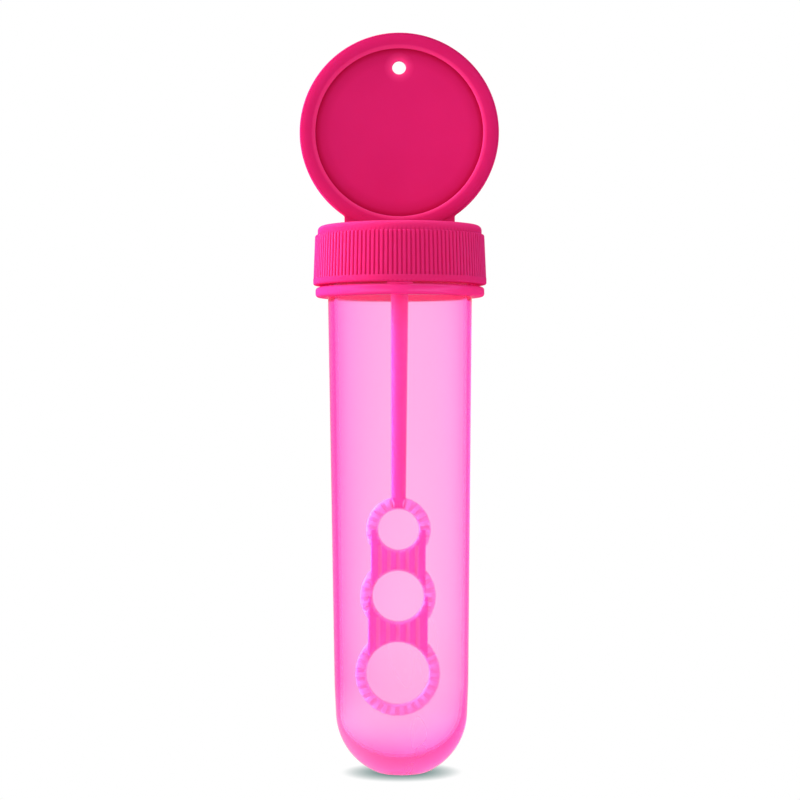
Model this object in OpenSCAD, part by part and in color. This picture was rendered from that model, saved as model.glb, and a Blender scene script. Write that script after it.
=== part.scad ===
// Bubble tube with a fluted screw cap, a hanging disc and a three-ring bubble wand.
// The origin is the middle of the small base flat, +Z is up and the front of the disc faces -Y.

/* [Tube] */
// Height from the base flat to the underside of the flange
tube_h = 89.85; // [60:0.05:150]
// Outer radius of the tube just under the flange
tube_top_r = 13.62; // [11:0.02:18]
// Outer radius of the drafted wall at its lower end, above the round bottom
tube_low_r = 12.66; // [10.8:0.02:17]
// Height over which the wall draws in from there to the round bottom
shoulder_h = 5.2; // [2:0.1:10]
// Outer radius of the round bottom
tube_bottom_r = 12.42; // [10.5:0.02:16]
// Radius of the small flat that the tube stands on
base_flat_r = 4.45; // [2:0.05:7]
// Thickness of the wall above the round bottom, which gets thicker towards the floor
tube_wall = 1.3; // [0.8:0.05:2]
// Thickness of the floor at the base flat
floor_t = 3.1; // [1.4:0.1:4]

/* [Flange and neck] */
// Thickness of the flange under the cap
flange_t = 1.85; // [1.2:0.05:3]
// Rounding of the edge of the flange
flange_round = 0.6; // [0.2:0.05:0.6]
// Distance by which the flange stays inside the band of the cap
flange_inset = 0.42; // [0:0.02:1]
// Height of the neck from the top of the flange to its rim
neck_h = 9.1; // [7:0.1:14]
// Distance from the mouth of the neck out to the wall of the tube under the flange
mouth_step = 1.37; // [1.1:0.01:2]
// Thickness of the wall of the neck
neck_wall = 1.05; // [0.8:0.05:1.3]
// Rounding of the rim of the neck
rim_round = 0.3; // [0.1:0.05:0.4]
// Width of the stop lug on the front of the flange
lug_w = 4.7; // [2:0.1:8]

/* [Cap] */
// Gap between the top of the flange and the skirt of the cap
skirt_gap = 0.45; // [0.3:0.05:1]
// Thickness of the roof of the cap
roof_t = 1.5; // [1.2:0.05:2.5]
// Thickness of the skirt at the bottom of the flutes, at their top end
skirt_wall = 1.4; // [0.8:0.05:2]
// Number of ribs round the skirt
rib_count = 120; // [60:2:160]
// Depth of the flutes between the ribs
flute_depth = 0.42; // [0.2:0.02:0.6]
// Draft by which the ribs widen from the top of the flutes to their foot
skirt_draft = 0.34; // [0.1:0.02:1]
// Height of the plain band at the bottom of the skirt
band_h = 1.2; // [0.6:0.05:2]
// Distance by which the plain band stands out from the ribs
band_step = 0.04; // [0.03:0.01:0.4]
// Rounding of the lower edge of the plain band
band_round = 0.35; // [0.1:0.05:0.5]
// Height of the top plate above the flutes
plate_h = 1.7; // [1.3:0.05:2.5]
// Distance by which the top plate stays inside the ribs
plate_step = 0.5; // [0.2:0.02:0.8]
// Rounding of the edge of the top plate
plate_round = 0.9; // [0.3:0.05:1.2]

/* [Hanging disc] */
// Outer radius of the disc
disc_r = 18.84; // [15:0.02:24]
// Width of the raised rim
rim_w = 2.95; // [1.5:0.05:4]
// Thickness of the rim at its crest
rim_t = 3.5; // [3:0.05:5]
// Radius of the curve across the crest of the rim
rim_crest_r = 3.2; // [2.6:0.1:6]
// Bevel at the inner edge of the rim
rim_bevel = 0.3; // [0.1:0.05:0.4]
// Thickness of the web inside the rim
web_t = 1.6; // [1:0.1:2]
// Depth to which the disc sinks into the top of the cap
disc_sink = 1.14; // [0.6:0.02:1.4]
// Width of the foot between the disc and the cap
foot_w = 20.85; // [16:0.05:24]
// Thickness of the foot
foot_t = 2.6; // [1.8:0.05:2.7]
// Radius of the fillets between the foot and the disc
foot_fillet = 0.8; // [0.3:0.05:1.2]
// Radius of the hang hole
hang_hole_r = 1.31; // [0.8:0.01:2]
// Distance from the top of the recess down to the middle of the hang hole
hang_hole_inset = 3.58; // [2.5:0.02:6]

/* [Seal] */
// Thickness of the seal washer
seal_t = 1.0; // [0.6:0.1:1.6]

/* [Wand socket] */
// Length of the boss below the roof of the cap
boss_h = 6.6; // [5:0.1:9]
// Thickness of the wall of the boss round its socket
boss_wall = 1.8; // [1:0.05:3]
// Radius of the peg at the head of the wand
peg_r = 1.9; // [1.7:0.05:2.4]
// Length of the peg
peg_h = 5.2; // [3:0.1:6]
// Width of the collar round the peg, which seats on the end of the boss
collar_w = 0.8; // [0.4:0.05:1.6]
// Thickness of the collar
collar_t = 1.0; // [0.6:0.1:2]

/* [Wand] */
// Radius of the stem under the collar
stem_top_r = 1.66; // [1.2:0.02:2]
// Radius of the stem where it meets the first ring
stem_low_r = 1.36; // [1:0.02:2]
// Gap between the lowest ring and the floor of the tube
wand_gap = 7.6; // [5:0.1:20]
// Radius of the hole of the first ring, under the stem
ring1_hole_r = 3.88; // [3:0.02:4.4]
// Radius of the hole of the second ring
ring2_hole_r = 4.85; // [4:0.05:5.6]
// Radius of the hole of the third ring, at the end
ring3_hole_r = 5.95; // [5:0.05:6.8]
// Width of the bead of the first ring
ring1_w = 2.24; // [1.8:0.02:2.6]
// Width of the bead of the second ring
ring2_w = 2.29; // [1.8:0.01:2.6]
// Width of the bead of the third ring
ring3_w = 2.05; // [1.8:0.05:2.6]
// Number of teeth on each side of the first ring
ring1_teeth = 6; // [3:1:7]
// Number of teeth on each side of the second ring
ring2_teeth = 5; // [3:1:7]
// Number of teeth on each side of the third ring
ring3_teeth = 10; // [5:1:12]
// Thickness of the rings at their crest
ring_t = 3.0; // [2.8:0.1:3.6]
// Radius of the curve across the crest of the rings
ring_crest_r = 1.55; // [1.4:0.05:3]
// Depth of the grooves that hold the liquid
groove_depth = 0.35; // [0.2:0.05:0.4]
// Width of the smooth lip round each hole, inside the teeth
lip_w = 0.3; // [0.2:0.05:0.5]
// Length of the bar between the holes of the first two rings
bar1_h = 3.87; // [3:0.01:6]
// Length of the bar between the holes of the last two rings
bar2_h = 3.8; // [3:0.05:6]
// Distance by which the sides of the first bar stay inside the first ring
bar1_inset = 0.94; // [0.5:0.02:2]
// Distance by which the sides of the second bar stay inside the second ring
bar2_inset = 1.505; // [0.8:0.005:2.5]
// Number of ribs on each bar
bar_ribs = 6; // [3:1:8]
// Thickness of the bars over their ribs
bar_t = 2.6; // [2.45:0.05:2.7]

/* [Clearances] */
// Room for the thread between the neck and the skirt
thread_room = 0.9; // [0.6:0.05:1.2]
// Clearance between the stop lug and the skirt
lug_clear = 0.1; // [0.05:0.01:0.2]
// Clearance between the peg and its socket
peg_clear = 0.05; // [0.02:0.01:0.1]
// Clearance of the seal washer round the boss and inside the skirt
seal_clear = 0.15; // [0.05:0.05:0.3]

/* [Hidden] */
$fn = 96;
// Length by which cuts run past the faces that they open
overrun = 1;
// Corners of one rib and its flute, as shares of the pitch and of the flute's depth
flute_corner_shares = [[-0.26, 0], [0.26, 0], [0.36, 1], [0.64, 1]];
// Part of each pitch that stands up as a tooth on a ring or as a rib on a bar
tooth_share = 0.58;
// Number of straight pieces that a fillet is drawn with
fillet_steps = 8;

flange_top_z = tube_h + flange_t;
rim_z = flange_top_z + neck_h;
bowl_z = sqrt(pow(tube_bottom_r, 2) - pow(base_flat_r, 2));
shoulder_z = bowl_z + shoulder_h;
inner_bowl_r = tube_bottom_r - tube_wall;
// Depth of the round bottom inside, as a share of its radius
inner_bowl_share = (bowl_z - floor_t) / inner_bowl_r;
mouth_r = tube_top_r - mouth_step;
neck_r = mouth_r + neck_wall;
cap_bore_r = neck_r + thread_room;
// The plain core inside the flutes, half way through the skirt's wall
skirt_core_r = cap_bore_r + skirt_wall / 2;
rib_top_r = cap_bore_r + skirt_wall + flute_depth;
rib_low_r = rib_top_r + skirt_draft;
band_r = rib_low_r + band_step;
plate_r = rib_top_r - plate_step;
flange_r = band_r - flange_inset;
skirt_z = flange_top_z + skirt_gap;
lug_h = skirt_gap - lug_clear;
roof_z = rim_z + seal_t;
cap_top_z = roof_z + roof_t;
flute_low_z = skirt_z + band_h;
flute_top_z = cap_top_z - plate_h;
disc_z = cap_top_z - disc_sink + disc_r;
recess_r = disc_r - rim_w;
// Height of the rim at its edges, where the curve of its crest ends
rim_edge_y = rim_t / 2 - rim_crest_r + sqrt(pow(rim_crest_r, 2) - pow(rim_w / 2, 2));
hang_hole_z = disc_z + recess_r - hang_hole_inset;
socket_r = peg_r + peg_clear;
boss_r = socket_r + boss_wall;
boss_end_z = roof_z - boss_h;
collar_z = boss_end_z - collar_t;
collar_r = peg_r + collar_w;
ring1_r = ring1_hole_r + ring1_w;
ring2_r = ring2_hole_r + ring2_w;
ring3_r = ring3_hole_r + ring3_w;
ring3_z = floor_t + wand_gap + ring3_r;
ring2_z = ring3_z + ring3_hole_r + bar2_h + ring2_hole_r;
ring1_z = ring2_z + ring2_hole_r + bar1_h + ring1_hole_r;
bar1_w = 2 * (ring1_r - bar1_inset);
bar2_w = 2 * (ring2_r - bar2_inset);
pink = "#dc2168";
clear_pink = [1.0, 0.55, 0.82, 0.55];
wand_pink = "#e8307c";

// Half section of a plate from the axis out to w, with both outer edges rounded
module rounded_plate(w, h, r) {
  translate([0, r]) square([w, h - 2 * r]);
  square([w - r, h]);
  translate([w - r, r]) circle(r);
  translate([w - r, h - r]) circle(r);
}

// Section of a bead: a rectangle whose two faces are crowned by arcs
module bead_section(inner, outer, t, crest_r) {
  middle = (inner + outer) / 2;
  intersection() {
    translate([inner, -t / 2]) square([outer - inner, t]);
    translate([middle, t / 2 - crest_r]) circle(crest_r);
    translate([middle, crest_r - t / 2]) circle(crest_r);
  }
}

// Lays a turned shape on its side, so that its axis runs along Y
module along_y(z) {
  translate([0, 0, z]) rotate([90, 0, 0]) children();
}

// Half section of the tube's solid outline: round bottom, drafted wall, flange and neck
module tube_outline() {
  intersection() {
    translate([0, bowl_z]) circle(tube_bottom_r);
    square([tube_bottom_r, bowl_z]);
  }
  polygon([
    [0, bowl_z],
    [tube_bottom_r, bowl_z],
    [tube_low_r, shoulder_z],
    [tube_top_r, tube_h],
    [0, tube_h]
  ]);
  translate([0, tube_h]) rounded_plate(flange_r, flange_t, flange_round);
  translate([0, tube_h]) rounded_plate(neck_r, flange_t + neck_h, rim_round);
}

// Half section of the tube's cavity: a drafted bore over a round bottom that is shallower than outside
module tube_cavity() {
  intersection() {
    translate([0, bowl_z]) scale([1, inner_bowl_share]) circle(inner_bowl_r);
    square([inner_bowl_r, bowl_z]);
  }
  polygon([
    [0, bowl_z],
    [inner_bowl_r, bowl_z],
    [tube_low_r - tube_wall, shoulder_z],
    [mouth_r, rim_z],
    [mouth_r, rim_z + overrun],
    [0, rim_z + overrun]
  ]);
}

// Low lug on the front of the flange, between the neck and the flange's rounded edge
module stop_lug() {
  intersection() {
    translate([0, 0, tube_h]) cylinder(r = flange_r - flange_round, h = flange_t + lug_h);
    translate([-lug_w / 2, -flange_r, tube_h])
      cube([lug_w, flange_r - (mouth_r + neck_r) / 2, flange_t + lug_h]);
  }
}

module tube() {
  color(clear_pink) {
    rotate_extrude() difference() {
      tube_outline();
      tube_cavity();
    }
    stop_lug();
  }
}

// Outline of the fluted skirt at radius r over the ribs
function fluted_outline(r) = [
  for (i = [0 : rib_count - 1], corner = flute_corner_shares)
    let (
      angle = (i + corner[0]) * 360 / rib_count,
      reach = r - corner[1] * flute_depth
    )
    [reach * cos(angle), reach * sin(angle)]
];

// Shell of the cap before it is hollowed: plain band, core and rounded top plate, then the flutes
module cap_shell() {
  rotate_extrude() {
    translate([0, skirt_z]) square([skirt_core_r, cap_top_z - skirt_z - plate_round]);
    translate([0, skirt_z]) square([band_r - band_round, band_h]);
    translate([0, skirt_z + band_round]) square([band_r, band_h - band_round]);
    translate([band_r - band_round, skirt_z + band_round]) circle(band_round);
    translate([0, flute_top_z]) square([plate_r, plate_h - plate_round]);
    translate([0, flute_top_z]) square([plate_r - plate_round, plate_h]);
    translate([plate_r - plate_round, cap_top_z - plate_round]) circle(plate_round);
  }
  translate([0, 0, flute_low_z])
    linear_extrude(height = flute_top_z - flute_low_z, scale = rib_top_r / rib_low_r)
      polygon(fluted_outline(rib_low_r));
}

// Disc: a thin web inside a crowned rim with a bevelled inner edge
module disc() {
  along_y(disc_z) rotate_extrude() {
    translate([0, -web_t / 2]) square([recess_r + rim_w / 2, web_t]);
    difference() {
      bead_section(recess_r, disc_r, rim_t, rim_crest_r);
      for (side = [-1, 1])
        translate([recess_r, side * rim_edge_y])
          rotate(45) square(sqrt(2) * rim_bevel, center = true);
    }
  }
}

// Points of the right edge of the foot, from inside the roof up round the fillet to the disc
function foot_edge() =
  let (
    fillet_x = foot_w / 2 + foot_fillet,
    fillet_z = -sqrt(pow(disc_r + foot_fillet, 2) - pow(fillet_x, 2)),
    end_angle = atan2(-fillet_z, -fillet_x)
  )
  concat(
    [[foot_w / 2, -disc_r]],
    [
      for (i = [0 : fillet_steps])
        let (angle = 180 + (end_angle - 180) * i / fillet_steps)
        [fillet_x + foot_fillet * cos(angle), fillet_z + foot_fillet * sin(angle)]
    ]
  );

// Foot of the disc, kept out of the recess inside the rim
module foot() {
  edge = foot_edge();
  last = len(edge) - 1;
  mirrored_edge = [for (i = [last : -1 : 0]) [-edge[i][0], edge[i][1]]];
  along_y(disc_z) difference() {
    linear_extrude(height = foot_t, center = true) polygon(concat(edge, mirrored_edge));
    cylinder(r = recess_r + rim_w / 2, h = foot_t + overrun, center = true);
  }
}

module cap() {
  color(pink) difference() {
    union() {
      difference() {
        cap_shell();
        translate([0, 0, skirt_z - overrun]) cylinder(r = cap_bore_r, h = roof_z - skirt_z + overrun);
      }
      translate([0, 0, boss_end_z]) cylinder(r = boss_r, h = boss_h + roof_t / 2);
      disc();
      foot();
    }
    translate([0, 0, boss_end_z - overrun]) cylinder(r = socket_r, h = peg_h + peg_clear + overrun);
    along_y(hang_hole_z) cylinder(r = hang_hole_r, h = rim_t + overrun, center = true);
  }
}

module seal_washer() {
  color("whitesmoke") translate([0, 0, rim_z]) difference() {
    cylinder(r = cap_bore_r - seal_clear, h = seal_t);
    translate([0, 0, -overrun]) cylinder(r = boss_r + seal_clear, h = seal_t + 2 * overrun);
  }
}

// Half of the angle that something of width w takes up on a ring of radius r
function half_angle(w, r) = asin(w / (2 * r));

// One bubble ring: a bead at the depth of the grooves, with teeth on both sides of what joins it
module ring(z, hole_r, r, teeth, above_w, below_w) {
  start = half_angle(below_w, r) - 90;
  pitch = (90 - half_angle(above_w, r) - start) / teeth;
  along_y(z) {
    rotate_extrude()
      bead_section(hole_r, r - groove_depth, ring_t - 2 * groove_depth, ring_crest_r);
    for (side = [0, 1], tooth = [0 : teeth - 1])
      mirror([side, 0, 0])
        rotate(start + (tooth + (1 - tooth_share) / 2) * pitch)
          rotate_extrude(angle = tooth_share * pitch)
            bead_section(hole_r + lip_w, r, ring_t, ring_crest_r);
  }
}

// Ribbed bar between two rings, ending half way through their beads
module bar(w, top_z, top_r, low_z, low_r) {
  pitch = w / bar_ribs;
  length = top_z - low_z;
  core_t = bar_t - 2 * groove_depth;
  difference() {
    union() {
      translate([-w / 2, -core_t / 2, low_z]) cube([w, core_t, length]);
      for (rib = [0 : bar_ribs - 1])
        translate([(rib + (1 - tooth_share) / 2) * pitch - w / 2, -bar_t / 2, low_z])
          cube([tooth_share * pitch, bar_t, length]);
    }
    along_y(top_z) cylinder(r = top_r, h = bar_t + overrun, center = true);
    along_y(low_z) cylinder(r = low_r, h = bar_t + overrun, center = true);
  }
}

module wand() {
  bead1_r = ring1_hole_r + ring1_w / 2;
  bead2_r = ring2_hole_r + ring2_w / 2;
  bead3_r = ring3_hole_r + ring3_w / 2;
  stem_end_z = ring1_z + bead1_r;
  color(wand_pink) {
    translate([0, 0, collar_z]) cylinder(r = collar_r, h = collar_t);
    translate([0, 0, collar_z]) cylinder(r = peg_r, h = collar_t + peg_h);
    translate([0, 0, stem_end_z]) cylinder(r1 = stem_low_r, r2 = stem_top_r, h = collar_z - stem_end_z);
    ring(ring1_z, ring1_hole_r, ring1_r, ring1_teeth, 2 * stem_low_r, bar1_w);
    ring(ring2_z, ring2_hole_r, ring2_r, ring2_teeth, bar1_w, bar2_w);
    ring(ring3_z, ring3_hole_r, ring3_r, ring3_teeth, bar2_w, 0);
    bar(bar1_w, ring1_z, bead1_r, ring2_z, bead2_r);
    bar(bar2_w, ring2_z, bead2_r, ring3_z, bead3_r);
  }
}

tube();
cap();
seal_washer();
wand();
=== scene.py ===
import math

import bmesh
import bpy
from mathutils import Matrix, Vector


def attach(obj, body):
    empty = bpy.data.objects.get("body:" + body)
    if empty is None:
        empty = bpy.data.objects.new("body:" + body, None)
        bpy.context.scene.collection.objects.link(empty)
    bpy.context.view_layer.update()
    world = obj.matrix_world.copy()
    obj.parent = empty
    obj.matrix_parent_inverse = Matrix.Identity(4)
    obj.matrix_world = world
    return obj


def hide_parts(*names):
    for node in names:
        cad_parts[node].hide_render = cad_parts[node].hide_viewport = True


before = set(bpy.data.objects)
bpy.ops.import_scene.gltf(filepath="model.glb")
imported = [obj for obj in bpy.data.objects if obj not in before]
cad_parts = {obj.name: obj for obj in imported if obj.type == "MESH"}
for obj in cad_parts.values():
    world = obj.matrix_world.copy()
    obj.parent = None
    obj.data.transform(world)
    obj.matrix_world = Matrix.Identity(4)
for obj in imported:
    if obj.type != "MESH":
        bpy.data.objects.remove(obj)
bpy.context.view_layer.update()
print("frame loaded:", ", ".join(sorted(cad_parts)))

mm = 0.001  # the sizes of the pieces below are in millimetres
weldGap = 2e-6
sharpAngle = math.radians(38)
noiseRange = (0.3, 0.7)  # most of a noise lies between these
toneRange = (0.35, 0.65)


def smoothStep(t):
    t = min(1.0, max(0.0, t))
    return t * t * (3 - 2 * t)


def reach(vert):  # distance from the Z axis, in millimetres
    return math.hypot(vert.co.x, vert.co.y) / mm


# most shapes start as a wire on the XZ plane and are spun round Z
def drawWire(bm, points, start=None):
    path = [start] if start else []
    path += [bm.verts.new((r * mm, 0, z * mm)) for r, z in points]
    edges = [bm.edges.new(pair) for pair in zip(path, path[1:])]
    return path[-1], edges


def carryRound(bm, vert, centre, turn, steps):  # goes on from vert with an arc
    made = bmesh.ops.spin(
        bm, geom=[vert], cent=(centre[0] * mm, 0, centre[1] * mm), axis=(0, 1, 0), angle=turn, steps=steps)
    return next(item for item in made["geom_last"] if isinstance(item, bmesh.types.BMVert))


def weld(bm):
    bmesh.ops.remove_doubles(bm, verts=bm.verts, dist=weldGap)
    bmesh.ops.recalc_face_normals(bm, faces=bm.faces)


def spinWire(bm, steps, wedges=1):  # many steps go faster as one wedge and its copies
    centre, axis = (0, 0, 0), (0, 0, 1)
    bmesh.ops.spin(
        bm, geom=bm.verts[:] + bm.edges[:], cent=centre, axis=axis,
        angle=math.tau / wedges, steps=steps // wedges, use_merge=wedges == 1)
    if wedges > 1:
        bmesh.ops.spin(
            bm, geom=bm.verts[:] + bm.edges[:] + bm.faces[:], cent=centre, axis=axis,
            angle=math.tau * (wedges - 1) / wedges, steps=wedges - 1, use_duplicate=True)
    weld(bm)


def roundEdges(bm, edges, width, segments):
    bmesh.ops.bevel(
        bm, geom=edges, offset=width * mm, offset_type="OFFSET", affect="EDGES",
        segments=segments, profile=0.5, material=-1)


def roundRing(bm, radius, height, width, segments=4):
    def onRing(vert):
        return abs(reach(vert) - radius) < 0.004 and abs(vert.co.z / mm - height) < 0.004
    roundEdges(bm, [edge for edge in bm.edges if all(onRing(v) for v in edge.verts)], width, segments)


def layAlongY(bm, height):  # turns a shape spun round Z so that its axis runs along Y
    bmesh.ops.rotate(bm, verts=bm.verts, cent=(0, 0, 0), matrix=Matrix.Rotation(math.pi / 2, 3, "X"))
    bmesh.ops.translate(bm, verts=bm.verts, vec=(0, 0, height * mm))


def combine(shapes, operation="UNION"):  # joins closed shapes, or cuts the later ones out of the first
    parts = []
    for bm in shapes:
        weld(bm)
        mesh = bpy.data.meshes.new("shape")
        bm.to_mesh(mesh)
        bm.free()
        parts.append(bpy.data.objects.new("shape", mesh))
        bpy.context.scene.collection.objects.link(parts[-1])
    for other in parts[1:]:
        step = parts[0].modifiers.new("step", "BOOLEAN")
        step.operation = operation
        step.solver = "MANIFOLD"
        step.object = other
    solid = parts[0].evaluated_get(bpy.context.evaluated_depsgraph_get())
    joined = bmesh.new()
    joined.from_mesh(solid.to_mesh())
    solid.to_mesh_clear()
    for part in parts:
        mesh = part.data
        bpy.data.objects.remove(part)
        bpy.data.meshes.remove(mesh)
    return joined


def finishPiece(bm, name, body, node, material):
    weld(bm)
    for face in bm.faces:
        face.smooth = True
    for edge in bm.edges:
        edge.smooth = edge.calc_face_angle(0.0) < sharpAngle
    mesh = bpy.data.meshes.new(name)
    bm.to_mesh(mesh)
    bm.free()
    mesh.materials.append(material)
    piece = bpy.data.objects.new(name, mesh)
    bpy.context.scene.collection.objects.link(piece)
    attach(piece, body)
    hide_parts(node)
    print(name, "made with", len(mesh.polygons), "faces")


def newMaterial(name):
    material = bpy.data.materials.new(name)
    material.use_nodes = True
    tree = material.node_tree
    tree.nodes.clear()
    return material, tree


def addNode(tree, kind, at, **values):
    node = tree.nodes.new(kind)
    node.location = at
    for key, value in values.items():
        setattr(node, key, value)
    return node


def noiseOn(tree, at, scale, detail, stretch=(1, 1, 1)):
    coords = addNode(tree, "ShaderNodeTexCoord", (at[0] - 400, at[1]))
    mapping = addNode(tree, "ShaderNodeMapping", (at[0] - 200, at[1]))
    mapping.inputs["Scale"].default_value = stretch
    noise = addNode(tree, "ShaderNodeTexNoise", at)
    noise.inputs["Scale"].default_value = scale
    noise.inputs["Detail"].default_value = detail
    tree.links.new(coords.outputs["Object"], mapping.inputs["Vector"])
    tree.links.new(mapping.outputs["Vector"], noise.inputs["Vector"])
    return noise


def rangeOf(tree, at, socket, low, high):
    ranger = addNode(tree, "ShaderNodeMapRange", at)
    ranger.inputs["From Min"].default_value = noiseRange[0]
    ranger.inputs["From Max"].default_value = noiseRange[1]
    ranger.inputs["To Min"].default_value = low
    ranger.inputs["To Max"].default_value = high
    tree.links.new(socket, ranger.inputs["Value"])
    return ranger.outputs["Result"]


def colourBetween(tree, at, socket, first, second):
    ramp = addNode(tree, "ShaderNodeValToRGB", at)
    ramp.color_ramp.elements[0].position = toneRange[0]
    ramp.color_ramp.elements[0].color = (*first, 1)
    ramp.color_ramp.elements[1].position = toneRange[1]
    ramp.color_ramp.elements[1].color = (*second, 1)
    tree.links.new(socket, ramp.inputs["Fac"])
    return ramp.outputs["Color"]


def rampOver(tree, at, socket, span, stops):  # millimetres to a colour and its share
    place = addNode(tree, "ShaderNodeMapRange", (at[0] - 200, at[1]))
    place.inputs["From Min"].default_value = span[0] * mm
    place.inputs["From Max"].default_value = span[1] * mm
    ramp = addNode(tree, "ShaderNodeValToRGB", at)
    elements = ramp.color_ramp.elements
    elements.remove(elements[1])
    for value, colour, share in stops:
        elements.new((value - span[0]) / (span[1] - span[0])).color = (*colour, share)
    elements.remove(elements[0])
    tree.links.new(socket, place.inputs["Value"])
    tree.links.new(place.outputs["Result"], ramp.inputs["Fac"])
    return ramp


def mixIn(tree, at, colour, second, share):
    mix = addNode(tree, "ShaderNodeMix", at, data_type="RGBA")
    tree.links.new(share, mix.inputs["Factor"])
    tree.links.new(colour, mix.inputs["A"])
    if isinstance(second, tuple):
        mix.inputs["B"].default_value = (*second, 1)
    else:
        tree.links.new(second, mix.inputs["B"])
    return mix.outputs["Result"]


def bumpFrom(tree, at, socket, height, strength):
    bump = addNode(tree, "ShaderNodeBump", at)
    bump.inputs["Distance"].default_value = height * mm
    bump.inputs["Strength"].default_value = strength
    tree.links.new(socket, bump.inputs["Height"])
    return bump.outputs["Normal"]


# one thread for the neck of the tube and the cap
thread = {
    "pitch": 3.0,  # between neighbouring ridges; two starts, so the lead is twice this
    "starts": 2,
    "ridge": 1.5,
    "flank": 0.55,
    "fade": 0.9,
}


def raiseThread(bm, radius, low, high, depth, phase):
    for vert in bm.verts:
        z = vert.co.z / mm
        if abs(reach(vert) - radius) > 0.01 or not low < z < high:
            continue
        turn = math.atan2(vert.co.y, vert.co.x) / math.tau
        off = (z / thread["pitch"] - turn * thread["starts"] + phase) % 1 - 0.5
        flank = smoothStep((thread["ridge"] / 2 - abs(off) * thread["pitch"]) / thread["flank"])
        fade = smoothStep((z - low) / thread["fade"]) * smoothStep((high - z) / thread["fade"])
        grow = 1 + depth * flank * fade / radius
        vert.co.x *= grow
        vert.co.y *= grow


tube = {
    "flatRadius": 4.45,
    "bowlRadius": 12.42,
    "lowRadius": 12.66,
    "shoulder": 5.2,  # height over which the wall draws in to the bowl
    "topRadius": 13.62,
    "wall": 1.3,
    "floor": 3.1,
    "coreShift": (-0.2, 0.2),  # the wall is a little uneven: the cavity sits to the left in the bowl
    "coreStart": 8.0,  # from here up the shift changes over
    "coreTop": 86.0,
    "flangeLow": 89.85,
    "flangeTop": 91.7,
    "flangeRadius": 15.98,
    "flangeRound": 0.6,
    "underRound": 0.3,
    "flatRound": 0.5,
    "neckRadius": 13.3,
    "mouthRadius": 12.25,
    "rim": 100.8,
    "rimRound": 0.3,
    "lug": (4.7, 2.55, 2.0),  # width, depth, height from inside the flange
    "lugRound": 0.15,
    "lugFront": 15.38,
    "lugTop": 92.05,
    "threadSpan": (92.9, 100.1),
    "threadDepth": 0.58,
    "steps": 192,
}
clearPink = {
    "tint": (1.0, 0.905, 0.965),
    "deepTint": (0.86, 0.030, 0.235),
    "levels": [  # height in millimetres, share of the deep tint, clearness
        (2.0, 0.02, 0.89), (7.0, 0.10, 0.92), (12.0, 0.10, 0.96), (18.0, 0.06, 0.985), (30.0, 0.0, 0.99)],
    "flange": [(89.65, 0.0), (89.8, 0.85), (92.15, 0.85), (92.4, 0.0)],  # height, how solid it looks
    "flangeFrom": 80.0,
    "outside": [(13.4, 0.0), (14.2, 1.0)],  # radius, share of that
    "outsideSpan": (13.0, 15.0),
    "absorbed": (1.0, 0.10, 0.77),
    "density": 255.0,
    "roughness": (0.18, 0.28),
    "waves": 60,
    "waveLength": 0.35,
    "waveBump": (0.4, 0.25),  # height and strength
    "ior": 1.045,
    "gleam": (0.9, 0.1, 0.4),
    "lampTint": (1.0, 0.95, 0.8),
}


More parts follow.
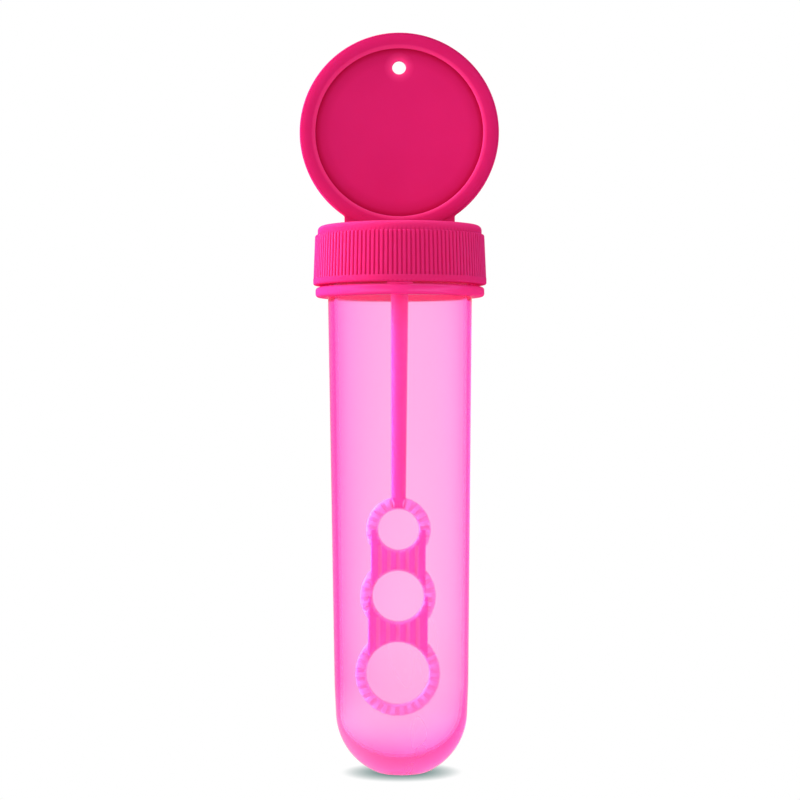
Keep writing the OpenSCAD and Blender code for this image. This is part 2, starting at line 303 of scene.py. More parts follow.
def clearPinkMaterial():
    material, tree = newMaterial("clearPinkPlastic")
    shader = addNode(tree, "ShaderNodeBsdfPrincipled", (0, 200))
    shader.inputs["IOR"].default_value = clearPink["ior"]
    shader.inputs["Specular Tint"].default_value = (*clearPink["gleam"], 1)
    waves = noiseOn(tree, (-500, 200), clearPink["waves"], 2, (1, 1, clearPink["waveLength"]))
    haze = rangeOf(tree, (-250, 200), waves.outputs["Fac"], *clearPink["roughness"])
    tree.links.new(haze, shader.inputs["Roughness"])
    ripple = bumpFrom(tree, (-250, -60), waves.outputs["Fac"], *clearPink["waveBump"])
    tree.links.new(ripple, shader.inputs["Normal"])
    coords = addNode(tree, "ShaderNodeTexCoord", (-900, 500))
    split = addNode(tree, "ShaderNodeSeparateXYZ", (-700, 500))
    tint, deep = Vector(clearPink["tint"]), Vector(clearPink["deepTint"])
    tree.links.new(coords.outputs["Object"], split.inputs["Vector"])
    tone = rampOver(tree, (-300, 500), split.outputs["Z"], (0, tube["rim"]), [
        (height, tint.lerp(deep, share), clear) for height, share, clear in clearPink["levels"]])
    tree.links.new(tone.outputs["Color"], shader.inputs["Base Color"])
    tree.links.new(tone.outputs["Alpha"], shader.inputs["Transmission Weight"])
    flange = rampOver(tree, (-300, 900), split.outputs["Z"], (clearPink["flangeFrom"], tube["rim"]), [
        (height, deep, share) for height, share in clearPink["flange"]])
    solid = addNode(tree, "ShaderNodeBsdfDiffuse", (0, 900))
    thick = addNode(tree, "ShaderNodeMixShader", (200, 600))
    tree.links.new(flange.outputs["Color"], solid.inputs["Color"])
    across = addNode(tree, "ShaderNodeVectorMath", (-700, 1100), operation="MULTIPLY")
    across.inputs[1].default_value = (1, 1, 0)
    away = addNode(tree, "ShaderNodeVectorMath", (-500, 1100), operation="LENGTH")
    tree.links.new(coords.outputs["Object"], across.inputs[0])
    tree.links.new(across.outputs["Vector"], away.inputs[0])
    outside = rampOver(tree, (-100, 1100), away.outputs["Value"], clearPink["outsideSpan"], [
        (radius, deep, share) for radius, share in clearPink["outside"]])
    share = addNode(tree, "ShaderNodeMath", (0, 750), operation="MULTIPLY")
    tree.links.new(flange.outputs["Alpha"], share.inputs[0])
    tree.links.new(outside.outputs["Alpha"], share.inputs[1])
    tree.links.new(share.outputs["Value"], thick.inputs["Fac"])
    tree.links.new(shader.outputs["BSDF"], thick.inputs[1])
    tree.links.new(solid.outputs["BSDF"], thick.inputs[2])
    seeThrough = addNode(tree, "ShaderNodeBsdfTransparent", (0, -200))
    seeThrough.inputs["Color"].default_value = (*clearPink["lampTint"], 1)
    rays = addNode(tree, "ShaderNodeLightPath", (0, 600))
    mix = addNode(tree, "ShaderNodeMixShader", (400, 200))  # lamps reach what stands inside
    tree.links.new(rays.outputs["Is Shadow Ray"], mix.inputs["Fac"])
    tree.links.new(thick.outputs["Shader"], mix.inputs[1])
    tree.links.new(seeThrough.outputs["BSDF"], mix.inputs[2])
    inside = addNode(tree, "ShaderNodeVolumeAbsorption", (300, -100))
    inside.inputs["Color"].default_value = (*clearPink["absorbed"], 1)
    inside.inputs["Density"].default_value = clearPink["density"]
    out = addNode(tree, "ShaderNodeOutputMaterial", (600, 100))
    tree.links.new(mix.outputs["Shader"], out.inputs["Surface"])
    tree.links.new(inside.outputs["Volume"], out.inputs["Volume"])
    return material


def makeTube():
    bm = bmesh.new()
    flat, bowl, low = tube["flatRadius"], tube["bowlRadius"], tube["lowRadius"]
    bowlHeight = math.sqrt(bowl ** 2 - flat ** 2)
    shoulder = bowlHeight + tube["shoulder"]
    early = math.acos(bowl / math.hypot(low, tube["shoulder"])) - math.atan2(tube["shoulder"], low)
    inner, innerLow = bowl - tube["wall"], low - tube["wall"]
    coreShare = (tube["coreTop"] - shoulder) / (tube["rim"] - shoulder)
    end, _ = drawWire(bm, [(0, 0), (flat, 0)])
    end = carryRound(bm, end, (0, bowlHeight), early - math.atan2(bowlHeight, flat), 24)
    end, edges = drawWire(bm, [
        (low, shoulder),
        (tube["topRadius"], tube["flangeLow"]),
        (tube["flangeRadius"], tube["flangeLow"]),
        (tube["flangeRadius"], tube["flangeTop"]),
        (tube["neckRadius"], tube["flangeTop"]),
        (tube["neckRadius"], tube["rim"]),
        (tube["mouthRadius"], tube["rim"]),
        (innerLow + (tube["mouthRadius"] - innerLow) * coreShare, tube["coreTop"]),
        (innerLow, shoulder),
        (inner, bowlHeight),
    ], end)
    drawn = set(bm.verts)
    carryRound(bm, end, (0, bowlHeight), math.pi / 2, 24)
    bmesh.ops.scale(  # the bowl is shallower inside, which leaves a thick floor
        bm, verts=[v for v in bm.verts if v not in drawn], vec=(1, 1, (bowlHeight - tube["floor"]) / inner),
        space=Matrix.Translation((0, 0, -bowlHeight * mm)))
    bmesh.ops.subdivide_edges(bm, edges=[edges[5]], cuts=71)  # rows for the thread
    spinWire(bm, tube["steps"], 12)
    for height in (tube["flangeLow"], tube["flangeTop"]):
        roundRing(bm, tube["flangeRadius"], height, tube["flangeRound"], 6)
    roundRing(bm, tube["topRadius"], tube["flangeLow"], tube["underRound"])
    roundRing(bm, tube["neckRadius"], tube["rim"], tube["rimRound"])
    roundRing(bm, tube["mouthRadius"], tube["rim"], tube["rimRound"])
    roundRing(bm, flat, 0, tube["flatRound"])
    raiseThread(bm, tube["neckRadius"], *tube["threadSpan"], tube["threadDepth"], 0)
    atFloor, above = tube["coreShift"]
    start = tube["coreStart"]
    for vert in bm.verts:  # those of the cavity move
        z = vert.co.z / mm
        rise = max(0, z - bowlHeight) / (tube["flangeLow"] - bowlHeight)
        outer = bowl + (tube["topRadius"] - bowl) * rise
        if 1 < z < tube["coreTop"] + 0.1 and math.hypot(reach(vert), min(0, z - bowlHeight)) < outer - 0.6:
            vert.co.x += (atFloor + (above - atFloor) * smoothStep((z - start) / (shoulder - start))) * mm

    lug = bmesh.new()
    bmesh.ops.create_cube(lug, size=mm)
    bmesh.ops.scale(lug, verts=lug.verts, vec=tube["lug"])
    _, depth, height = tube["lug"]
    bmesh.ops.translate(lug, verts=lug.verts, vec=(
        0, (depth / 2 - tube["lugFront"]) * mm, (tube["lugTop"] - height / 2) * mm))
    roundEdges(lug, lug.edges[:], tube["lugRound"], 2)
    return combine([bm, lug])


finishPiece(makeTube(), "clearTube", "tube", "tube", clearPinkMaterial())

satinPink = {
    "dark": (0.58, 0.0115, 0.118),
    "light": (0.615, 0.0133, 0.129),
    "thin": (0.82, 0.036, 0.205),  # painted light: highlights on edges and a glow where light comes through
    "deep": (0.40, 0.002, 0.037),  # painted shade in corners and at the bottoms of the flutes
    "roughness": (0.42, 0.54),
    "flow": 45,
    "grain": 2600,
    "grainBump": (0.02, 0.15),
    "specular": 0.0,
    "opacity": 1.0,
    "scatter": 0.5,
    "scatterRadius": (1.4, 0.6, 1.0),
}


def satinPinkMaterial(name, look, rounds=()):  # rounds: painted shade and painted light by the distance from a point of the disc
    material, tree = newMaterial(name)
    shader = addNode(tree, "ShaderNodeBsdfPrincipled", (0, 0))
    shader.inputs["Specular IOR Level"].default_value = look["specular"]
    shader.inputs["Alpha"].default_value = look["opacity"]
    shader.inputs["Subsurface Weight"].default_value = look["scatter"]
    shader.inputs["Subsurface Radius"].default_value = look["scatterRadius"]
    shader.inputs["Subsurface Scale"].default_value = mm
    flow = noiseOn(tree, (-600, 250), look["flow"], 3)
    grain = noiseOn(tree, (-600, -150), look["grain"], 2)
    colour = colourBetween(tree, (-350, 250), flow.outputs["Fac"], look["dark"], look["light"])
    # painted light and painted shade, from the marks on the vertices
    for mark in ("thin", "deep"):
        if mark in look:
            share = addNode(tree, "ShaderNodeAttribute", (-350, 500), attribute_name=mark)
            colour = mixIn(tree, (-150, 350), colour, look[mark], share.outputs["Fac"])
    for height, span, stops in rounds:
        coords = addNode(tree, "ShaderNodeTexCoord", (-1100, 800))
        flat = addNode(tree, "ShaderNodeVectorMath", (-900, 800), operation="MULTIPLY_ADD")
        flat.inputs[1].default_value = (1, 0, 1)
        flat.inputs[2].default_value = (0, 0, -height * mm)
        away = addNode(tree, "ShaderNodeVectorMath", (-700, 800), operation="LENGTH")
        tree.links.new(coords.outputs["Object"], flat.inputs[0])
        tree.links.new(flat.outputs["Vector"], away.inputs[0])
        tone = rampOver(tree, (-300, 800), away.outputs["Value"], span, [
            (value, look[mark], share) for value, mark, share in stops])
        colour = mixIn(tree, (-150, 600), colour, tone.outputs["Color"], tone.outputs["Alpha"])
    tree.links.new(colour, shader.inputs["Base Color"])
    tree.links.new(
        rangeOf(tree, (-350, 0), grain.outputs["Fac"], *look["roughness"]), shader.inputs["Roughness"])
    skin = bumpFrom(tree, (-350, -250), grain.outputs["Fac"], *look["grainBump"])
    tree.links.new(skin, shader.inputs["Normal"])
    out = addNode(tree, "ShaderNodeOutputMaterial", (300, 0))
    tree.links.new(shader.outputs["BSDF"], out.inputs["Surface"])
    return material


cap = {
    "skirt": 92.15,
    "bandTop": 93.35,
    "bandRadius": 16.4,
    "bandRound": 0.35,
    # painted highlight on the band
    "bandHighlight": 0.3,
    "ribs": 120,
    "ribLow": 16.36,
    "ribTop": 16.02,
    "ribEnd": 101.6,
    "ribRound": 0.35,
    # painted highlight on the rib tops
    "ribHighlight": 0.3,
    "fluteDepth": 0.25,
    "fluteStart": 0.1,
    "fluteRise": 0.8,
    # painted shade at the bottoms of the flutes
    "fluteShade": 0.12,
    "plateRadius": 15.52,
    "plateRound": 0.9,
    "plateEdge": 1.2,
    "plateHighlight": (0.3, 0.9),  # painted highlight, at its foot and at its top edge
    "top": 103.3,
    "roof": 101.8,
    "bore": 14.2,
    "boreRound": 0.25,
    "bossRadius": 3.75,
    "bossEnd": 95.2,
    "bossRound": 0.3,
    "socketRadius": 1.95,
    "socketEnd": 100.45,
    "threadSpan": (93.2, 100.4),
    "threadDepth": -0.58,
    "stepsPerRib": 8,
}
disc = {
    "height": 121.0,
    "radius": 18.84,
    "recess": 15.89,
    "web": 1.6,
    "thick": 3.5,
    "crest": 3.2,
    "edgeRound": 0.4,
    "innerRound": 0.35,
    "webFillet": 0.2,
    "holeRadius": 1.31,
    "holeRise": 12.31,
    "holeRound": 0.15,
    "steps": 256,
    # painted shade in the corner of the recess, painted highlight on its inner edge
    "recessShadeAndHighlight": [
        (13.0, "deep", 0.0), (14.8, "deep", 0.3), (15.6, "deep", 0.8), (15.82, "deep", 1.0),
        (15.90, "thin", 1.0), (16.2, "thin", 0.8), (16.65, "thin", 0.0)],
    # painted glow round the hang hole
    "holeGlow": [(1.4, "thin", 1.0), (2.0, "thin", 0.45), (2.9, "thin", 0.0)],
}
foot = {
    "width": 20.85,
    "thick": 2.6,
    "fillet": 0.8,
}


def fluteAt(vert):  # 0 on a rib, 1 at the bottom of a flute
    swing = math.cos(math.atan2(vert.co.y, vert.co.x) * cap["ribs"])
    return smoothStep((-swing - cap["fluteStart"]) / cap["fluteRise"])


def makeCapShell():
    bm = bmesh.new()
    _, edges = drawWire(bm, [
        (0, cap["socketEnd"]),
        (cap["socketRadius"], cap["socketEnd"]),
        (cap["socketRadius"], cap["bossEnd"]),
        (cap["bossRadius"], cap["bossEnd"]),
        (cap["bossRadius"], cap["roof"]),
        (cap["bore"], cap["roof"]),
        (cap["bore"], cap["skirt"]),
        (cap["bandRadius"], cap["skirt"]),
        (cap["bandRadius"], cap["bandTop"]),
        (cap["ribLow"], cap["bandTop"]),
        (cap["ribTop"], cap["ribEnd"]),
        (cap["plateRadius"], cap["ribEnd"]),
        (cap["plateRadius"], cap["top"]),
        (cap["plateRadius"] - cap["plateEdge"], cap["top"]),
        (0, cap["top"]),
    ])
    bmesh.ops.subdivide_edges(bm, edges=[edges[5]], cuts=47)  # rows for the thread
    spinWire(bm, cap["ribs"] * cap["stepsPerRib"], 30)
    roundRing(bm, cap["bandRadius"], cap["skirt"], cap["bandRound"])
    roundRing(bm, cap["plateRadius"], cap["top"], cap["plateRound"], 6)
    roundRing(bm, cap["ribTop"], cap["ribEnd"], cap["ribRound"], 3)
    roundRing(bm, cap["bore"], cap["skirt"], cap["boreRound"], 2)
    roundRing(bm, cap["bossRadius"], cap["bossEnd"], cap["bossRound"], 2)
    raiseThread(bm, cap["bore"], *cap["threadSpan"], cap["threadDepth"], 0.5)
    for vert in bm.verts:
        if reach(vert) > cap["plateRadius"] + 0.01 and vert.co.z / mm > cap["bandTop"] - 0.01:
            if reach(vert) > cap["bandRadius"] - 0.01:
                continue
            room = min(1.0, (reach(vert) - cap["plateRadius"]) / cap["fluteDepth"])
            shrink = 1 - cap["fluteDepth"] * fluteAt(vert) * room / reach(vert)
            vert.co.x *= shrink
            vert.co.y *= shrink
    return bm


def paintCapLightAndShade(bm):  # painted highlights on ribs, band and plate, and painted shade at the bottoms of the flutes
    thin = bm.verts.layers.float.new("thin")
    deep = bm.verts.layers.float.new("deep")
    for vert in bm.verts:
        z = vert.co.z / mm
        if reach(vert) < cap["plateRadius"] - cap["plateRound"] - 0.1 or z > cap["top"] + 0.01:
            continue
        if z > cap["ribEnd"] + 0.01:
            low, high = cap["plateHighlight"]
            rise = smoothStep((z - cap["top"] + cap["plateRound"]) / cap["plateRound"])
            vert[thin] = low + (high - low) * rise
        elif z > cap["bandTop"] + 0.01 or reach(vert) < cap["bandRadius"] - 0.01:
            flute = fluteAt(vert)
            vert[thin], vert[deep] = cap["ribHighlight"] * (1 - flute), cap["fluteShade"] * flute
        else:
            vert[thin] = cap["bandHighlight"]


def addHangHole(bm):  # wall of the hole, then the web round it on both faces
    web, edge = disc["web"] / 2, disc["holeRound"]
    wall = bmesh.new()
    end, _ = drawWire(wall, [(disc["holeRadius"] + edge, web)])
    end = carryRound(wall, end, (disc["holeRadius"] + edge, web - edge), -math.pi / 2, 3)
    end, _ = drawWire(wall, [(disc["holeRadius"], edge - web)], end)
    carryRound(wall, end, (disc["holeRadius"] + edge, edge - web), -math.pi / 2, 3)
    spinWire(wall, 64)
    bmesh.ops.translate(wall, verts=wall.verts, vec=(0, disc["holeRise"] * mm, 0))
    mesh = bpy.data.meshes.new("holeWall")
    wall.to_mesh(mesh)
    wall.free()
    bm.from_mesh(mesh)
    bpy.data.meshes.remove(mesh)
    for side in (1, -1):
        rims = [e for e in bm.edges if e.is_boundary and e.verts[0].co.z * side > 0]
        bmesh.ops.triangle_fill(bm, use_beauty=True, edges=rims, normal=(0, 0, side))
    weld(bm)


def makeDisc():
    bm = bmesh.new()
    middle = (disc["radius"] + disc["recess"]) / 2
    half = (disc["radius"] - disc["recess"]) / 2
    sink = disc["thick"] / 2 - disc["crest"]
    edgeHeight = sink + math.sqrt(disc["crest"] ** 2 - half ** 2)
    lean = math.asin(half / disc["crest"])
    web, fillet = disc["web"] / 2, disc["webFillet"]
    end, _ = drawWire(bm, [(disc["recess"] - fillet, web)])
    end = carryRound(bm, end, (disc["recess"] - fillet, web + fillet), -math.pi / 2, 3)
    end, _ = drawWire(bm, [(disc["recess"], edgeHeight)], end)
    end = carryRound(bm, end, (middle, sink), 2 * lean, 10)
    end, _ = drawWire(bm, [(disc["radius"], -edgeHeight)], end)
    end = carryRound(bm, end, (middle, -sink), 2 * lean, 10)
    end, _ = drawWire(bm, [(disc["recess"], -web - fillet)], end)
    carryRound(bm, end, (disc["recess"] - fillet, -web - fillet), -math.pi / 2, 3)
    spinWire(bm, disc["steps"], 16)
    for side in (1, -1):
        roundRing(bm, disc["radius"], side * edgeHeight, disc["edgeRound"])
        roundRing(bm, disc["recess"], side * edgeHeight, disc["innerRound"])
    addHangHole(bm)
    layAlongY(bm, disc["height"])
    return bm


def makeFoot():
    bm = bmesh.new()
    half, fillet = foot["width"] / 2, foot["fillet"]
    base = -disc["radius"]
    middle = (disc["radius"] + disc["recess"]) / 2
    turnX = half + fillet
    turnZ = -math.sqrt((disc["radius"] + fillet) ** 2 - turnX ** 2)
    lean = math.atan2(-turnZ, turnX)
    end, _ = drawWire(bm, [(0, -middle), (0, base), (half, base), (half, turnZ)])
    end = carryRound(bm, end, (turnX, turnZ), lean, 8)
    end, _ = drawWire(bm, [(middle * math.cos(lean), -middle * math.sin(lean))], end)
    carryRound(bm, end, (0, 0), math.pi / 2 - lean, 16)
    bmesh.ops.remove_doubles(bm, verts=bm.verts, dist=weldGap)
    bmesh.ops.mirror(bm, geom=bm.verts[:] + bm.edges[:], axis="X", merge_dist=weldGap)
    middleLine = [e for e in bm.edges if all(abs(v.co.x) < weldGap for v in e.verts)]
    bmesh.ops.delete(bm, geom=middleLine, context="EDGES")
    bmesh.ops.contextual_create(bm, geom=bm.edges[:])
    made = bmesh.ops.extrude_face_region(bm, geom=bm.faces[:])
    moved = [item for item in made["geom"] if isinstance(item, bmesh.types.BMVert)]
    bmesh.ops.translate(bm, verts=moved, vec=(0, foot["thick"] * mm, 0))
    bmesh.ops.translate(bm, verts=bm.verts, vec=(0, -foot["thick"] / 2 * mm, disc["height"] * mm))
    return bm


satinCap = satinPinkMaterial("satinPinkPlastic", satinPink, [
    (disc["height"], (12, 18), disc["recessShadeAndHighlight"]),
    (disc["height"] + disc["holeRise"], (1, 4), disc["holeGlow"]),
])
capShape = combine([makeCapShell(), makeDisc(), makeFoot()])
paintCapLightAndShade(capShape)
finishPiece(capShape, "screwCap", "cap", "cap", satinCap)

wand = {
    "pegTop": 100.4,
    "pegRadius": 1.9,
    "pegRound": 0.35,
    "collarTop": 95.2,
    "collarRadius": 2.7,
    "collarLow": 94.2,
    "collarRounds": (0.15, 0.25),  # above and below
    "stemTop": 1.66,
    "stemLow": 1.36,
    "stemFillet": 0.3,
    "ringThick": 3.0,
    "ringCrest": 1.55,
    "ringRound": 0.25,
    "grooveDepth": 0.35,
    "grooveSlope": 0.22,
    "edgeDepth": 0.04,
    "lip": 0.3,
    "toothShare": 0.58,
    "barThick": 3.06,
    "barRound": 0.3,
    "barRibs": 6,
    "barLip": 0.45,
    "ringGlow": 0.85,  # painted light: how pale the rings are beside the bars
    # painted light in the grooves
    "grooveGlow": 0.55,
    "stemDeep": 0.55,
    "lean": 0.5,
}
rings = [  # height, hole, outer radius, teeth a side, width of what joins above and below
    (45.9, 3.88, 6.12, 6, 2.72, 10.36),
    (33.3, 4.85, 7.14, 5, 10.36, 11.27),
    (18.7, 5.95, 8.0, 10, 11.27, 0),
]
wandPink = {
    "dark": (0.84, 0.046, 0.345),
    "light": (0.88, 0.056, 0.385),
    # painted light: the paler tone of the grooves and rings
    "thin": (0.97, 0.27, 0.56),
    "deep": (0.72, 0.012, 0.225),
    "roughness": (0.46, 0.56),
    "flow": 45,
    "grain": 2600,
    "grainBump": (0.02, 0.15),
    "specular": 0.25,
    "opacity": 0.88,
    "scatter": 0.8,
    "scatterRadius": (1.5, 1.5, 1.5),
}


def makeStem():
    bm = bmesh.new()
    topRing = rings[0]
    drawWire(bm, [
        (0, wand["pegTop"]),
        (wand["pegRadius"], wand["pegTop"]),
        (wand["pegRadius"], wand["collarTop"]),
        (wand["collarRadius"], wand["collarTop"]),
        (wand["collarRadius"], wand["collarLow"]),
        (wand["stemTop"], wand["collarLow"]),
        (wand["stemLow"], topRing[0] + (topRing[1] + topRing[2]) / 2),
        (0, topRing[0] + (topRing[1] + topRing[2]) / 2),
    ])
    spinWire(bm, 64)
    roundRing(bm, wand["pegRadius"], wand["pegTop"], wand["pegRound"])
    roundRing(bm, wand["collarRadius"], wand["collarTop"], wand["collarRounds"][0])
    roundRing(bm, wand["collarRadius"], wand["collarLow"], wand["collarRounds"][1])
    roundRing(bm, wand["stemTop"], wand["collarLow"], wand["stemFillet"])
    return bm


def makeRing(height, hole, outer, teeth, above, below):
    bm = bmesh.new()
    middle, half = (hole + outer) / 2, (outer - hole) / 2
    sink = wand["ringThick"] / 2 - wand["ringCrest"]
    edgeHeight = sink + math.sqrt(wand["ringCrest"] ** 2 - half ** 2)
    lean = math.asin(half / wand["ringCrest"])
    first, _ = drawWire(bm, [(hole, edgeHeight)])
    end = carryRound(bm, first, (middle, sink), 2 * lean, 10)
    end, edges = drawWire(bm, [(outer, -edgeHeight)], end)
    end = carryRound(bm, end, (middle, -sink), 2 * lean, 10)
    edges.append(bm.edges.new((end, first)))
    bmesh.ops.subdivide_edges(bm, edges=edges, cuts=3)
    spinWire(bm, 360, 20)
    for side in (1, -1):
        roundRing(bm, hole, side * edgeHeight, wand["ringRound"], 3)
        roundRing(bm, outer, side * edgeHeight, wand["ringRound"], 3)
    start = math.asin(below / (2 * outer)) - math.pi / 2
    pitch = (math.pi / 2 - math.asin(above / (2 * outer)) - start) / teeth
    for vert in bm.verts:
        angle = math.atan2(vert.co.y, abs(vert.co.x))
        place = (angle - start) / pitch
        if not 0 < place < teeth:
            continue
        gap = abs(place % 1 - 0.5) - wand["toothShare"] / 2  # above zero in a groove
        groove = smoothStep(gap * pitch * middle / wand["grooveSlope"] + 0.5)
        spread = reach(vert) - middle
        groove *= smoothStep((spread + half - wand["lip"] / 2) / wand["lip"])
        keep = 1 - wand["grooveDepth"] * groove / (wand["ringThick"] / 2)
        shrink = 1 - wand["edgeDepth"] * groove * max(0.0, spread / half) / reach(vert)
        vert.co.x *= shrink
        vert.co.y *= shrink
        vert.co.z *= keep
    layAlongY(bm, height)
    return bm


def makeBar(top, low):  # from ring to ring, clear of their holes
    bm = bmesh.new()
    bmesh.ops.create_cube(bm, size=mm)
    bmesh.ops.scale(bm, verts=bm.verts, vec=(top[5], wand["barThick"], top[0] - low[0]))
    bmesh.ops.translate(bm, verts=bm.verts, vec=(0, 0, (top[0] + low[0]) / 2 * mm))
    upright = [edge for edge in bm.edges if abs(edge.verts[0].co.z - edge.verts[1].co.z) > mm]
    roundEdges(bm, upright, wand["barRound"], 3)
    holes = []
    for ring in (top, low):
        hole = bmesh.new()
        radius = (ring[1] + wand["barLip"]) * mm
        bmesh.ops.create_cone(
            hole, cap_ends=True, segments=180, radius1=radius, radius2=radius,
            depth=2 * wand["barThick"] * mm)
        layAlongY(hole, ring[0])
        holes.append(hole)
    return combine([bm] + holes, "DIFFERENCE")


def makeGrooves(top, low):  # cutters between the ribs of a bar, on both faces
    bm = bmesh.new()
    pitch = top[5] / wand["barRibs"]
    width = (1 - wand["toothShare"]) * pitch
    length = top[0] - low[0] - top[1] - low[1] + 2
    for side in (1, -1):
        for rib in range(1, wand["barRibs"]):
            made = bmesh.ops.create_cube(bm, size=mm)
            bmesh.ops.scale(bm, verts=made["verts"], vec=(width, 2 * wand["grooveDepth"], length))
            bmesh.ops.translate(bm, verts=made["verts"], vec=(
                (rib * pitch - top[5] / 2) * mm, side * wand["barThick"] / 2 * mm,
                (top[0] - top[1] + low[0] + low[1]) / 2 * mm))
    return bm


def paintWandLightAndDepth(bm):  # painted light, paler in the grooves and on the rings, and a deeper tone in the stem
    thin = bm.verts.layers.float.new("thin")
    deep = bm.verts.layers.float.new("deep")
    sink = wand["ringThick"] / 2 - wand["ringCrest"]
    for vert in bm.verts:
        x, y, z = vert.co / mm
        top, least = wand["barThick"] / 2, 0.0
        for height, hole, outer, *_ in rings:
            spread = math.hypot(x, z - height) - (hole + outer) / 2
            inBar = any(
                abs(x) < ring[5] / 2 and ring[0] > z > low[0] for ring, low in zip(rings, rings[1:]))
            if abs(spread) < (outer - hole) / 2 + 0.01 and not inBar:
                top = sink + math.sqrt(wand["ringCrest"] ** 2 - spread ** 2)
                least = wand["ringGlow"]
        height, hole, outer, *_ = rings[0]
        if z > height + outer or z > height + hole + wand["lip"] and reach(vert) < wand["stemTop"]:
            vert[deep] = wand["stemDeep"]
        else:
            groove = smoothStep((top - abs(y)) / wand["grooveDepth"])
            vert[thin] = max(least, wand["grooveGlow"] * groove)


wandShape = combine(
    [makeStem()] + [makeRing(*ring) for ring in rings] + [makeBar(*pair) for pair in zip(rings, rings[1:])])
wandShape = combine([wandShape] + [makeGrooves(*pair) for pair in zip(rings, rings[1:])], "DIFFERENCE")
paintWandLightAndDepth(wandShape)
bmesh.ops.rotate(
    wandShape, verts=wandShape.verts, cent=(0, 0, (wand["pegTop"] + wand["collarTop"]) / 2 * mm),
    matrix=Matrix.Rotation(math.radians(wand["lean"]), 3, "Y"))  # as far as the socket lets it lean
finishPiece(
    wandShape, "bubbleWand", "cap", "wand", satinPinkMaterial("wandPinkPlastic", wandPink))

seal = {
    "low": 100.8,
    "high": 101.8,
    "inner": 3.9,
    "outer": 14.05,
    "round": 0.15,
}
sealFoam = {
    "dark": (0.72, 0.71, 0.69),
    "light": (0.84, 0.83, 0.81),
    "roughness": 0.85,
    "specular": 0.2,
    "cells": 1800,
    "cellBump": (0.08, 0.5),
}


def sealFoamMaterial():
    material, tree = newMaterial("sealFoam")
    shader = addNode(tree, "ShaderNodeBsdfPrincipled", (0, 0))
    shader.inputs["Roughness"].default_value = sealFoam["roughness"]
    shader.inputs["Specular IOR Level"].default_value = sealFoam["specular"]
    cells = noiseOn(tree, (-600, 0), sealFoam["cells"], 4)
    tree.links.new(
        colourBetween(tree, (-350, 150), cells.outputs["Fac"], sealFoam["dark"], sealFoam["light"]),
        shader.inputs["Base Color"])
    skin = bumpFrom(tree, (-350, -150), cells.outputs["Fac"], *sealFoam["cellBump"])
    tree.links.new(skin, shader.inputs["Normal"])
    out = addNode(tree, "ShaderNodeOutputMaterial", (300, 0))
    tree.links.new(shader.outputs["BSDF"], out.inputs["Surface"])
    return material


def makeSeal():
    bm = bmesh.new()
    corners = [(seal["inner"], seal["low"]), (seal["outer"], seal["low"]),
               (seal["outer"], seal["high"]), (seal["inner"], seal["high"])]
    drawWire(bm, corners + corners[:1])
    spinWire(bm, 128)
    for corner in corners:
        roundRing(bm, *corner, seal["round"], 3)
    return bm


finishPiece(makeSeal(), "sealWasher", "seal", "seal_washer", sealFoamMaterial())

studio = {
    "ambient": 0.38,
    "floorBounce": 1.0,
    "lamps": [  # name, direction, distance, size, power
        ("keyLamp", (-0.95, 0.04, 0.27), 0.6, 0.45, 7.8),
        ("fillLamp", (-0.4, -1.0, 0.15), 0.9, 0.5, 2.6),
        ("rimLamp", (0.95, -0.3, 0.1), 0.7, 0.4, 1.3),
        ("topLamp", (-0.15, -0.25, 1.0), 0.8, 0.5, 2.2),
    ],
    "lampAim": (0, 0, 0.08),
    "floorDrop": 0.05,
    "floorSize": 4.0,
    "shadow": (0.13, 0.24, 0.23),
    "shadowReach": 0.0045,
    "shadowEnd": 0.85,
}


def showsBackdrop(tree, at, ambient):  # 1 where it is seen, mirrored or seen through, else ambient
    rays = addNode(tree, "ShaderNodeLightPath", (at[0] - 800, at[1]))
    mirrored = addNode(tree, "ShaderNodeMath", (at[0] - 600, at[1]), operation="MAXIMUM")
    through = addNode(tree, "ShaderNodeMath", (at[0] - 400, at[1]), operation="MAXIMUM")
    level = addNode(tree, "ShaderNodeMapRange", (at[0] - 200, at[1]))
    level.inputs["To Min"].default_value = ambient
    tree.links.new(rays.outputs["Is Camera Ray"], mirrored.inputs[0])
    tree.links.new(rays.outputs["Is Glossy Ray"], mirrored.inputs[1])
    tree.links.new(mirrored.outputs["Value"], through.inputs[0])
    tree.links.new(rays.outputs["Is Transmission Ray"], through.inputs[1])
    tree.links.new(through.outputs["Value"], level.inputs["Value"])
    return level.outputs["Result"], rays.outputs["Is Camera Ray"]


def makeWorld():
    world = bpy.data.worlds.new("paleStudio")
    world.use_nodes = True
    tree = world.node_tree
    tree.nodes.clear()
    sky = addNode(tree, "ShaderNodeBackground", (150, 0))
    sky.inputs["Color"].default_value = (1, 1, 1, 1)
    out = addNode(tree, "ShaderNodeOutputWorld", (400, 0))
    strength, _ = showsBackdrop(tree, (0, 0), studio["ambient"])
    tree.links.new(strength, sky.inputs["Strength"])
    tree.links.new(sky.outputs["Background"], out.inputs["Surface"])
    bpy.context.scene.world = world


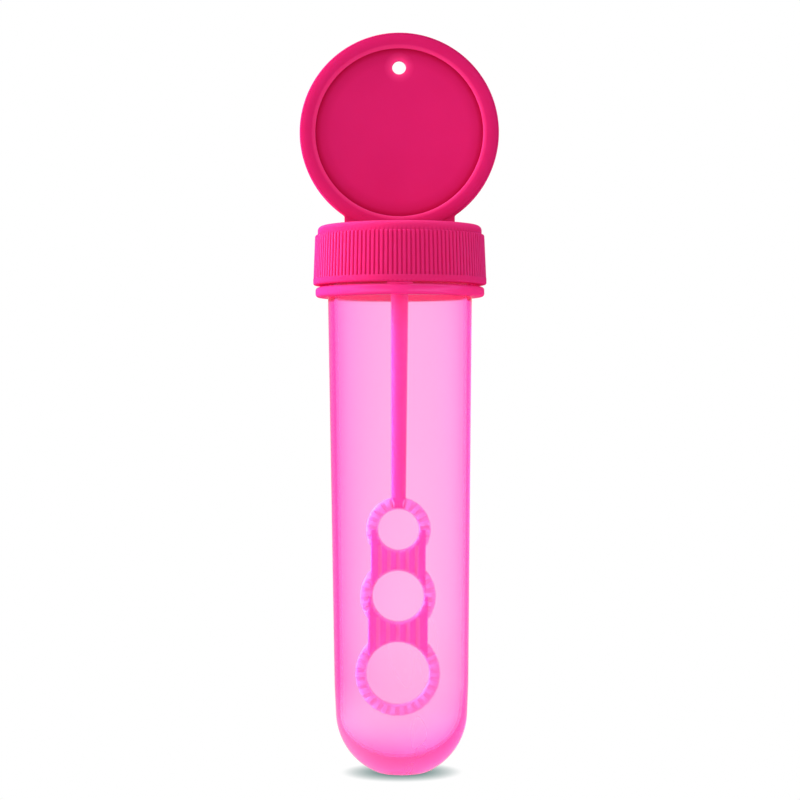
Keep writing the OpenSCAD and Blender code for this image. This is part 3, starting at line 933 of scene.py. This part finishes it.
def makeFloor():
    bm = bmesh.new()
    bmesh.ops.create_grid(bm, x_segments=1, y_segments=1, size=studio["floorSize"] / 2)
    bmesh.ops.translate(bm, verts=bm.verts, vec=(0, 0, -studio["floorDrop"] * mm))
    mesh = bpy.data.meshes.new("paleFloor")
    bm.to_mesh(mesh)
    bm.free()
    material, tree = newMaterial("paleFloorPaint")
    strength, seen = showsBackdrop(tree, (0, -200), studio["floorBounce"])
    contact = addNode(tree, "ShaderNodeAmbientOcclusion", (-600, 200), samples=16)
    contact.inputs["Distance"].default_value = studio["shadowReach"]
    shade = addNode(tree, "ShaderNodeValToRGB", (-400, 200))
    shade.color_ramp.elements[0].color = (*studio["shadow"], 1)
    shade.color_ramp.elements[1].position = studio["shadowEnd"]
    pick = addNode(tree, "ShaderNodeMix", (-100, 200), data_type="RGBA")  # only the eye sees the shadow
    pick.inputs["A"].default_value = (1, 1, 1, 1)
    glow = addNode(tree, "ShaderNodeEmission", (150, 0))
    out = addNode(tree, "ShaderNodeOutputMaterial", (400, 0))
    tree.links.new(contact.outputs["AO"], shade.inputs["Fac"])
    tree.links.new(seen, pick.inputs["Factor"])
    tree.links.new(shade.outputs["Color"], pick.inputs["B"])
    tree.links.new(pick.outputs["Result"], glow.inputs["Color"])
    tree.links.new(strength, glow.inputs["Strength"])
    tree.links.new(glow.outputs["Emission"], out.inputs["Surface"])
    mesh.materials.append(material)
    floor = bpy.data.objects.new("paleFloor", mesh)
    bpy.context.scene.collection.objects.link(floor)


def addLamp(name, direction, away, size, power):
    lamp = bpy.data.lights.new(name, "AREA")
    lamp.shape = "DISK"
    lamp.size = size
    lamp.energy = power
    holder = bpy.data.objects.new(name, lamp)
    target = Vector(studio["lampAim"])
    holder.location = target + Vector(direction).normalized() * away
    holder.rotation_euler = Vector(direction).to_track_quat("Z", "Y").to_euler()
    bpy.context.scene.collection.objects.link(holder)


makeWorld()
makeFloor()
for lamp in studio["lamps"]:
    addLamp(*lamp)
print("studio lit")

view = {
    "lens": 100.0,
    "away": 0.421,
    "height": 0.0704,
    "aside": -0.00006,
    "roll": 0.22,
}
camera = bpy.data.objects.new("camera", bpy.data.cameras.new("camera"))
camera.data.lens = view["lens"]
camera.data.clip_start = 0.01
camera.location = (view["aside"], -view["away"], view["height"])
camera.rotation_euler = (math.pi / 2, math.radians(view["roll"]), 0)
bpy.context.scene.collection.objects.link(camera)
bpy.context.scene.camera = camera
bpy.context.scene.view_settings.view_transform = "Standard"
bpy.context.scene.cycles.max_bounces = 24
bpy.context.scene.cycles.transmission_bounces = 24
